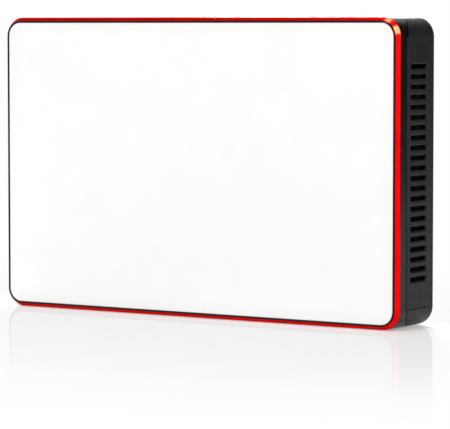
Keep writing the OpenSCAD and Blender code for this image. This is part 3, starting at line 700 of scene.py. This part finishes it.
def slotCell(g, side):
    straight = (g["slotLength"] - g["slotHeight"]) / 2
    half, radius = g["pitch"] / 2, g["slotHeight"] / 2
    corner = math.degrees(math.atan2(half, g["halfDepth"] - straight))
    turns = [0, corner / 2, corner] + g["sideTurns"]
    angles = [-turn for turn in turns[:0:-1]] + turns
    mouth, rim = [], []
    for end in (1, -1):
        for angle in angles:
            a, b = math.cos(math.radians(angle)), math.sin(math.radians(angle))
            reach = min((g["halfDepth"] - straight) / max(a, tiny), half / max(abs(b), tiny))
            mouth.append((end * straight, end * a, end * b))
            rim.append((end * (straight + reach * a), end * reach * b))

    def build(shape):
        def loop(spread, depth):
            return [shape.verts.new((side * (g["outer"] - depth), g["midY"] + u + spread * a, spread * b))
                    for u, a, b in mouth]

        def border(inset, depth):
            limit = g["halfDepth"] - inset
            return [shape.verts.new((side * (g["outer"] - depth), g["midY"] + max(-limit, min(limit, u)), v))
                    for u, v in rim]

        levels = [border(inset, depth) for inset, depth in grilleEdge]
        ringFaces(shape, [levels[0], loop(radius + g["chamfer"], 0), loop(radius, g["chamfer"]),
                          loop(radius, g["thick"]), levels[-1]])
        for low, high in zip(levels, levels[1:]):
            for start in (0, len(angles)):
                for i in range(start + angles.index(-corner), start + angles.index(corner)):
                    shape.faces.new((low[i], low[i + 1], high[i + 1], high[i]))
        bmesh.ops.delete(shape, geom=[v for v in shape.verts if not v.link_faces], context="VERTS")

    edge = sorted(set(round(u, 6) for u, v in rim if v > half - tiny))
    return build, edge[1:-1]


def plainEnds(g, side, edge):
    # the strip beyond the last slot at both ends, sharing the cell's border points
    def build(shape):
        for way in (1, -1):
            inner, outer = way * g["count"] * g["pitch"] / 2, way * g["halfHeight"]
            walls = []
            for inset, depth in grilleEdge:
                limit, end = g["halfDepth"] - inset, outer - way * inset
                walls.append([shape.verts.new((side * (g["outer"] - depth), g["midY"] + u, midZ + v))
                              for u, v in ((limit, inner), (limit, end), (-limit, end), (-limit, inner))])
            for low, high in zip(walls, walls[1:]):
                for i in range(3):
                    shape.faces.new((low[i], low[i + 1], high[i + 1], high[i]))
            for wall, depth in ((walls[0], 0), (walls[-1], g["thick"])):
                shape.faces.new([shape.verts.new((side * (g["outer"] - depth), g["midY"] + u, midZ + inner))
                                 for u in edge] + wall)

    return build


for side, label in ((1, "right"), (-1, "left")):
    cell, edge = slotCell(grille, side)
    ends = newObject("grilleEnds", plainEnds(grille, side, edge))
    source = runTree(newObject("grilleCell", cell), rowTree, {
        "Count": grille["count"], "Start": (0, 0, (midZ - (grille["count"] - 1) * grille["pitch"] / 2) * mm),
        "Step": (0, 0, grille["pitch"] * mm), "Ends": ends, "Material": texturedAbs})
    vents = finishPiece(source, "vent_grille_" + label)
    bpy.data.objects.remove(ends)
    settle(vents, "casing", "housing_black", "side_grille_" + label)


# dials: a ring of grip sectors round a turned face with a finger dimple
# aluminium, turned and black anodised: near-black satin with fine rings
dial = {
    "x": 34.9, "z": 67, "front": 8.7, "back": 11.4, "radius": 10, "faceRadius": 9.0, "notches": 36,
    "notchRadius": 0.4, "notchTurns": (-45, 0, 45), "edge": 0.3, "edgeSteps": 3, "frontEdge": 0.15,
    "dimpleAt": 6, "dimpleBall": 5, "dimpleDepth": 0.8, "dimpleLip": 0.15, "dimpleSteps": 60,
    "dimpleShares": (0.95, 0.85, 0.68, 0.5, 0.3), "boreRadius": 2.02, "boreDepth": 1.7, "boreSteps": 48,
    "dark": "26272A", "pale": "323438", "patch": 5, "rough": (0.24, 0.38), "toolLine": 0.5, "lineWaver": 0.3,
    "lineDepth": 0.01, "lineStrength": 0.6, "faceFade": (0.06, 0.02),
}
# a ring wave of scale 1 repeats after pi / 10
ringRepeat = math.pi / 10


def makeTurned(name, d, centre):
    # concentric tool lines about an axis along Y, raised on the turned face alone
    material, tree, shader, place = startMaterial(name, Metallic=1.0)
    shift = (-centre[0] * mm, 0, -centre[1] * mm)
    centred = addNode(tree, "ShaderNodeMapping", {"Location": shift}, {"Vector": place}).outputs[0]
    rings = addNode(tree, "ShaderNodeTexWave", {
        "wave_type": "RINGS", "rings_direction": "Y", "Scale": perMm(d["toolLine"]) * ringRepeat,
        "Distortion": d["lineWaver"], "Detail": 1, "Detail Scale": 2}, {"Vector": centred}).outputs["Fac"]
    fade = [(d["back"] - below) * mm for below in d["faceFade"]]
    raised = maths(tree, "MULTIPLY", rings, ramp(tree, axesOf(tree, place)["Y"], fade, (0, 1)))
    wire(tree, shader, Base_Color=driftingTint(tree, place, d["patch"], d["dark"], d["pale"]),
         Roughness=ramp(tree, rings, (0, 1), d["rough"]),
         Normal=relief(tree, raised, d["lineDepth"], d["lineStrength"]))
    return material


def gripSector(d):
    step = math.tau / d["notches"]
    bite = 2 * math.asin(d["notchRadius"] / 2 / d["radius"])
    path = [(d["radius"], angle) for angle in (-step / 2, -bite, bite, step / 2)]
    for turn in d["notchTurns"]:
        swing = math.radians(180 - turn)
        x = d["radius"] + d["notchRadius"] * math.cos(swing)
        z = d["notchRadius"] * math.sin(swing)
        path.append((math.hypot(x, z), math.atan2(z, x)))
    path.sort(key=lambda point: point[1])

    def build(shape):
        turns = [math.pi / 2 * k / d["edgeSteps"] for k in range(d["edgeSteps"] + 1)]
        wall = [(d["front"], d["frontEdge"]), (d["front"] + d["frontEdge"], 0)]
        wall += [(d["back"] - d["edge"] * (1 - math.sin(a)), d["edge"] * (1 - math.cos(a))) for a in turns]
        outlines = [(y, [(r - inset, a) for r, a in path]) for y, inset in wall]
        face = [(d["faceRadius"], a) for r, a in path]
        levels = [[shape.verts.new((r * math.cos(a), y, r * math.sin(a))) for r, a in outline]
                  for y, outline in [(d["front"], face)] + outlines + [(d["back"], face)]]
        for low, high in zip(levels, levels[1:]):
            for i in range(len(path) - 1):
                shape.faces.new((low[i], low[i + 1], high[i + 1], high[i]))

    return build, [a for r, a in path[:-1]]


def dialFace(d, angles, centre):
    def rim(shape, y):
        turns = [math.tau * k / d["notches"] + a for k in range(d["notches"]) for a in angles]
        return [shape.verts.new((centre[0] + d["faceRadius"] * math.cos(t), y,
                                 centre[1] + d["faceRadius"] * math.sin(t))) for t in turns]

    def build(shape):
        ball, depth, back, steps = d["dimpleBall"], d["dimpleDepth"], d["back"], d["dimpleSteps"]
        spot = (centre[0], centre[1] + d["dimpleAt"])
        mouth = math.sqrt(2 * ball * depth - depth ** 2)
        bowl = [circleLoop(shape, mouth + wide, back, spot, steps) for wide in (d["dimpleLip"], 0)]
        fillBetween(shape, rim(shape, back), bowl[0])
        for radius in [mouth * share for share in d["dimpleShares"]]:
            sink = math.sqrt(ball ** 2 - radius ** 2) - (ball - depth)
            bowl.append(circleLoop(shape, radius, back - sink, spot, steps))
        ringFaces(shape, bowl + [circleLoop(shape, 0, back - depth, spot, 1)])
        end = d["front"] + d["boreDepth"]
        low = rim(shape, d["front"])
        bore = [(d["boreRadius"], d["front"]), (d["boreRadius"], end), (0, end)]
        fillBetween(shape, low, lathe(shape, bore, centre, d["boreSteps"])[0])

    return build


for side, label in ((-1, "brightness"), (1, "colour")):
    centre = (side * dial["x"], dial["z"])
    finish = makeTurned("blackAnodisedTurnedAluminium_" + label, dial, centre)
    sector, angles = gripSector(dial)
    middle = newObject("dialFace", dialFace(dial, angles, centre))
    source = runTree(newObject("dialSector", sector), wheelTree, {
        "Count": dial["notches"], "Centre": (centre[0] * mm, 0, centre[1] * mm), "Middle": middle,
        "Material": finish})
    knob = finishPiece(source, label + "_knob", sharp=turnedSharp)
    bpy.data.objects.remove(middle)
    settle(knob, label + "_control", "dial_black", label + "_dial")


# power button: dished cap, keeper flange and stem in one moulding
button = {
    "z": 50.5, "steps": 64,
    "profile": [
        (0, 11.02), (1.4, 11.06), (2.6, 11.17), (3.3, 11.28), (3.55, 11.3), (3.8, 11.24), (3.95, 11.1),
        (4.0, 10.9), (4.0, 9.65), (4.05, 9.6), (4.9, 9.6), (5.0, 9.5), (5.0, 8.9), (4.9, 8.8), (1.75, 8.8),
        (1.7, 8.75), (1.7, 8.28), (1.65, 8.23), (0, 8.23)],
}


def buildButton(shape):
    lathe(shape, button["profile"], (0, button["z"]), button["steps"])


# polycarbonate, moulded through-red with a satin skin: clear even red, soft gloss
redCap = grainedSolid("satinRedPolycarbonate", "A80C14", "BC141B", (0.3, 0.4), 0.3, 0.006)
solidPiece("power_cap", buildButton, redCap, "button_red", "power_button", body="power_control",
           sharp=turnedSharp)


# display window: smoked acrylic, polished, with the dark display area just showing through
window = {
    "size": (39.8, 19.8, 1.4), "z": 67, "front": 10.55, "frontEdge": 0.05, "back": 11.45, "edge": 0.18,
    "activeHalf": (16.2, 6.6), "activeFade": 0.1, "smoke": "060607", "active": "161C1E", "patch": 7,
    "rough": (0.05, 0.11),
}


def makeSmoked(w):
    material, tree, shader, place = startMaterial("smokedPolishedAcrylic", IOR=acrylicIor)
    axes = axesOf(tree, place)
    sides = []
    for axis, middle, half in (("X", 0, w["activeHalf"][0]), ("Z", w["z"], w["activeHalf"][1])):
        fade = ((half + w["activeFade"]) * mm, (half - w["activeFade"]) * mm)
        sides.append(ramp(tree, awayFrom(tree, axes[axis], middle), fade, (0, 1)))
    active = maths(tree, "MULTIPLY", *sides)
    wire(tree, shader, Base_Color=blendColours(tree, active, w["smoke"], w["active"]),
         Roughness=varied(tree, place, w["patch"], *w["rough"]))
    return material


def buildPane(shape):
    w = window
    roundedPlate(shape, w["size"], (0, w["z"]), (w["front"], w["frontEdge"]), (w["back"], w["edge"]))


solidPiece("display_pane", buildPane, makeSmoked(window), "smoked_window", "display_window")


# case screws: button head with a hexagon socket, black oxide
screw = {
    "spanX": 124, "spanZ": 74, "shankFront": -0.65, "shankTip": 0.3, "shankRadius": 1.2, "seat": 10.2,
    "top": 11.4, "headRadius": 2.3, "headSteps": [(0, 0.45), (0.1, 0.2), (0.35, 0.05), (0.6, 0)], "steps": 36,
    "socketSides": 6, "socketRadius": 1.1, "socketEdge": 0.12, "socketDepth": 0.7, "drillTip": 0.25,
}


def buildScrew(shape):
    s = screw
    shank, front, tip = s["shankRadius"], s["shankFront"], s["shankTip"]
    profile = [(0, front), (shank - tip, front), (shank, front + tip), (shank, s["seat"]),
               (s["headRadius"], s["seat"])]
    profile += [(s["headRadius"] - inset, s["top"] - drop) for inset, drop in s["headSteps"]]
    body = lathe(shape, profile, (0, 0), s["steps"])
    key, edge, floor = s["socketRadius"], s["socketEdge"], s["top"] - s["socketDepth"]
    recess = [(key + edge, s["top"]), (key, s["top"] - edge), (key, floor), (0, floor - s["drillTip"])]
    fillBetween(shape, body[-1], lathe(shape, recess, (0, 0), s["socketSides"])[0])


# steel, headed and black-oxide coated: charcoal with a dull oily sheen
oxide = grainedSolid("blackOxideSteel", "2C2D30", "3A3B3E", (0.3, 0.45), 0.2, 0.004, metallic=1.0, patch=2.0)
source = runTree(newObject("screwSource", buildScrew), cornerTree, {
    "Span X": screw["spanX"] * mm, "Span Z": screw["spanZ"] * mm, "Middle": (0, 0, midZ * mm),
    "Material": oxide})
backScrews = finishPiece(source, "back_screws", sharp=turnedSharp)
settle(backScrews, "casing", "screw_black", "case_screws")


# charging socket: drawn steel shell, black tongue, gold contacts
socket = {
    "width": 8.94, "thick": 3.26, "sheet": 0.3, "foot": 0.1, "lip": 0.09, "lipDrop": 0.04, "y": 5.08,
    "low": 84.3, "mouth": 91.7, "floor": 84.9, "steps": 14, "tongue": (6.7, 0.7), "tongueTop": 89.9,
    "contacts": 12, "contactPitch": 0.5, "contact": (0.26, 0.03, 3.4), "contactLow": 86.2,
}


def slotLoop(shape, width, thick, y, z, steps):
    half, radius = (width - thick) / 2, thick / 2
    points = []
    for end in (1, -1):
        for k in range(steps + 1):
            angle = math.pi * (k / steps - 0.5)
            points.append((end * (half + radius * math.cos(angle)), y + end * radius * math.sin(angle)))
    return [shape.verts.new((a, b, z)) for a, b in points]


def buildSocketShell(shape):
    s = socket
    sheet, mouth, edge = s["sheet"], s["mouth"], s["mouth"] - s["lipDrop"]
    # how much narrower than the shell each loop is, and its height: up the outside, then down the inside
    rings = [(2 * s["foot"], s["low"]), (0, s["low"] + s["foot"]), (0, mouth - sheet / 2), (s["lip"], edge),
             (sheet, mouth), (2 * sheet - s["lip"], edge), (2 * sheet, mouth - sheet / 2),
             (2 * sheet, s["floor"])]
    loops = [slotLoop(shape, s["width"] - less, s["thick"] - less, s["y"], z, s["steps"])
             for less, z in rings]
    ringFaces(shape, loops)
    shape.faces.new(loops[0])
    shape.faces.new(loops[-1])


def addBox(shape, low, high):
    made = bmesh.ops.create_cube(shape, size=1.0)["verts"]
    for vert in made:
        vert.co = [low[k] if vert.co[k] < 0 else high[k] for k in range(3)]


def buildTongue(shape):
    w, t = socket["tongue"]
    y = socket["y"]
    addBox(shape, (-w / 2, y - t / 2, socket["floor"]), (w / 2, y + t / 2, socket["tongueTop"]))


def buildContact(shape):
    w, t, h = socket["contact"]
    for way in (1, -1):
        face = socket["y"] + way * socket["tongue"][1] / 2
        addBox(shape, (-w / 2, min(face, face + way * t), socket["contactLow"]),
               (w / 2, max(face, face + way * t), socket["contactLow"] + h))


# stainless sheet, drawn and bright: pale grey with a faint grain
drawnSteel = grainedSolid("drawnStainlessSheet", "A9ACAF", "BDBFC1", (0.2, 0.32), 0.3, 0.003,
                          metallic=1.0, patch=2.0)
solidPiece("charging_shell", buildSocketShell, drawnSteel, "socket_steel", "charging_socket",
           sharp=turnedSharp)
# liquid-crystal polymer, moulded: dull black
blackPolymer = grainedSolid("mouldedBlackPolymer", "121213", "1A1A1B", (0.45, 0.6), 0.3, 0.006)
solidPiece("charging_tongue", buildTongue, blackPolymer, "connector_black", bevel={**moulding, "angle": 60})
# copper alloy, gold flashed: warm yellow metal
goldFlash = grainedSolid("goldFlashedCopper", "C99A3B", "DDB25A", (0.2, 0.3), 0.2, 0.002,
                         metallic=1.0, patch=1.0)
nothing = newObject("noEnds", lambda shape: None)
source = runTree(newObject("contactSource", buildContact), rowTree, {
    "Count": socket["contacts"],
    "Start": (-(socket["contacts"] - 1) * socket["contactPitch"] / 2 * mm, 0, 0),
    "Step": (socket["contactPitch"] * mm, 0, 0), "Ends": nothing, "Material": goldFlash})
contacts = finishPiece(source, "charging_contacts")
bpy.data.objects.remove(nothing)
settle(contacts, "casing", "insert_brass")


# tripod insert: brass bush with a helical thread
insert = {
    "y": 5.4, "low": 0.3, "high": 8.7, "radius": 4.0, "neckRadius": 3.5, "neck": 1.6, "chamfer": 0.25,
    "minor": 2.55, "major": 3.12, "pitch": 1.27, "rootShare": 0.12, "flankShare": 0.76, "leadIn": 0.5,
    "around": 56, "perTurn": 12,
}


def buildInsert(shape):
    n = insert
    low, high, radius, chamfer = n["low"], n["high"], n["radius"], n["chamfer"]
    neck, neckLow, neckHigh = n["neckRadius"], (low + high - n["neck"]) / 2, (low + high + n["neck"]) / 2

    def spot(radius, k, z):
        angle = math.tau * k / n["around"]
        return shape.verts.new((radius * math.cos(angle), n["y"] + radius * math.sin(angle), z))

    def threadRadius(k, z):
        turn = ((z - low) / n["pitch"] - k / n["around"]) % 1
        rise = min(1, max(0, (abs(turn - 0.5) * 2 - n["rootShare"]) / n["flankShare"]))
        lead = max(0, 1 - min(z - low, high - z) / n["leadIn"])
        return n["minor"] + (n["major"] - n["minor"]) * max(1 - rise, lead)

    outside = [(radius - chamfer, low), (radius, low + chamfer), (radius, neckLow), (neck, neckLow),
               (neck, neckHigh), (radius, neckHigh), (radius, high - chamfer), (radius - chamfer, high)]
    loops = [[spot(r, k, z) for k in range(n["around"])] for r, z in outside]
    rows = int((high - low) / n["pitch"] * n["perTurn"])
    for row in range(rows, -1, -1):
        z = low + (high - low) * row / rows
        loops.append([spot(threadRadius(k, z), k, z) for k in range(n["around"])])
    ringFaces(shape, loops, closed=True)


# brass, turned on a lathe: warm yellow with a fine grain
turnedBrass = grainedSolid("turnedBrass", "B08A3C", "C7A050", (0.22, 0.34), 0.25, 0.004,
                           metallic=1.0, patch=2.0)
solidPiece("tripod_bush", buildInsert, turnedBrass, "insert_brass", "tripod_insert", sharp=turnedSharp)


# finishes of the inner CAD parts: name, dark, pale, roughness, grain, relief, metallic
inner = {
    # polyester film, matt coated both sides: milky white
    "diffusion_film": ("mattPolyesterFilm", "E4E6E6", "EEF0F0", (0.55, 0.7), 0.2, 0.004, 0.0),
    # polyester, foamed and thermoformed: chalk white
    "white_reflector": ("foamedWhitePolyester", "E6E6E3", "F0F0EE", (0.6, 0.75), 0.4, 0.01, 0.0),
    # phosphor in silicone over a white package: pale yellow
    "led_cool": ("paleYellowPhosphor", "E0D27A", "EEE7B0", (0.35, 0.5), 0.3, 0.01, 0.0),
    # phosphor in silicone over a white package: amber
    "led_warm": ("amberPhosphor", "D79A32", "E6B455", (0.35, 0.5), 0.3, 0.01, 0.0),
    # aluminium-core board under white solder mask: white, slightly glossy
    "board_white": ("whiteSolderMask", "DADCDC", "E8EAEA", (0.3, 0.45), 0.5, 0.01, 0.0),
    # silicone gap pad, calendered: slate, waxy
    "thermal_pad": ("filledSilicone", "5C6670", "6A747E", (0.6, 0.75), 0.4, 0.02, 0.0),
    # aluminium, die cast and black anodised: dull black metal
    "black_anodised": ("blackAnodisedCasting", "1E1F21", "2A2B2E", (0.4, 0.55), 0.4, 0.015, 0.8),
    # liquid-crystal polymer, moulded: dull black
    "connector_black": ("mouldedConnectorBlack", "141415", "1C1C1D", (0.45, 0.6), 0.3, 0.006, 0.0),
    # glass-epoxy board under green solder mask: deep green with the copper showing as paler patches
    "board_green": ("greenSolderMask", "0E4A26", "1A6636", (0.25, 0.4), 1.2, 0.02, 0.0),
    # epoxy, transfer moulded: charcoal, fine matt
    "chip_black": ("mouldedEpoxy", "202122", "2A2B2C", (0.5, 0.65), 0.2, 0.008, 0.0),
    # ferrite, pressed and sintered: dark grey, granular
    "ferrite": ("sinteredFerrite", "3A3B3D", "4A4B4D", (0.55, 0.7), 0.25, 0.02, 0.1),
    # aluminium can, drawn: bright grey
    "can_aluminium": ("drawnAluminiumCan", "B4B7BA", "C4C6C8", (0.25, 0.35), 0.3, 0.004, 1.0),
    # steel, zinc plated: pale grey with a blue cast
    "zinc_steel": ("zincPlatedSteel", "A8ADB3", "BCC0C4", (0.3, 0.4), 0.3, 0.005, 1.0),
    # polybutylene, moulded: mid grey
    "encoder_grey": ("mouldedGreyPolymer", "6A6C6E", "787A7C", (0.5, 0.6), 0.3, 0.008, 0.0),
    # steel, ground: bright grey
    "shaft_steel": ("groundSteel", "A6A8AA", "B8BABC", (0.2, 0.3), 0.2, 0.003, 1.0),
    # acetal, moulded: ivory, slightly waxy
    "plunger_ivory": ("mouldedAcetal", "D6CDB4", "E2DAC4", (0.4, 0.5), 0.3, 0.006, 0.0),
    # display glass with its dark polariser: blue-black gloss
    "display_glass": ("polarisedGlass", "0E1216", "141A1F", (0.06, 0.12), 1.5, 0.001, 0.0),
    # nylon, moulded: natural ivory
    "plug_ivory": ("naturalNylon", "DAD2BC", "E6DFCB", (0.45, 0.55), 0.3, 0.008, 0.0),
    # silicone-sleeved wire, extruded: red
    "lead_red": ("redSiliconeSleeve", "B01A18", "C42622", (0.45, 0.6), 0.4, 0.006, 0.0),
    # heat-shrink sleeve, drawn tight: blue, slightly wrinkled
    "battery_wrap": ("blueShrinkSleeve", "2A5A8C", "356AA0", (0.3, 0.45), 2.5, 0.05, 0.0),
    # polyethylene foam, cut: black, fine cells
    "foam_black": ("cutBlackFoam", "1C1C1C", "262626", (0.85, 0.95), 0.6, 0.08, 0.0),
    # fish paper, calendered: buff, fibrous
    "insulator_paper": ("buffFishPaper", "C8B98A", "D6C99E", (0.65, 0.8), 0.5, 0.01, 0.0),
}
finishes = {slot: grainedSolid(*row[:6], metallic=row[6]) for slot, row in inner.items()}
dressed = 0
for thing in nodes.values():
    for entry in thing.material_slots:
        if entry.material and entry.material.name in finishes:
            entry.material = finishes[entry.material.name]
            dressed += 1
print("inner parts dressed:", dressed)
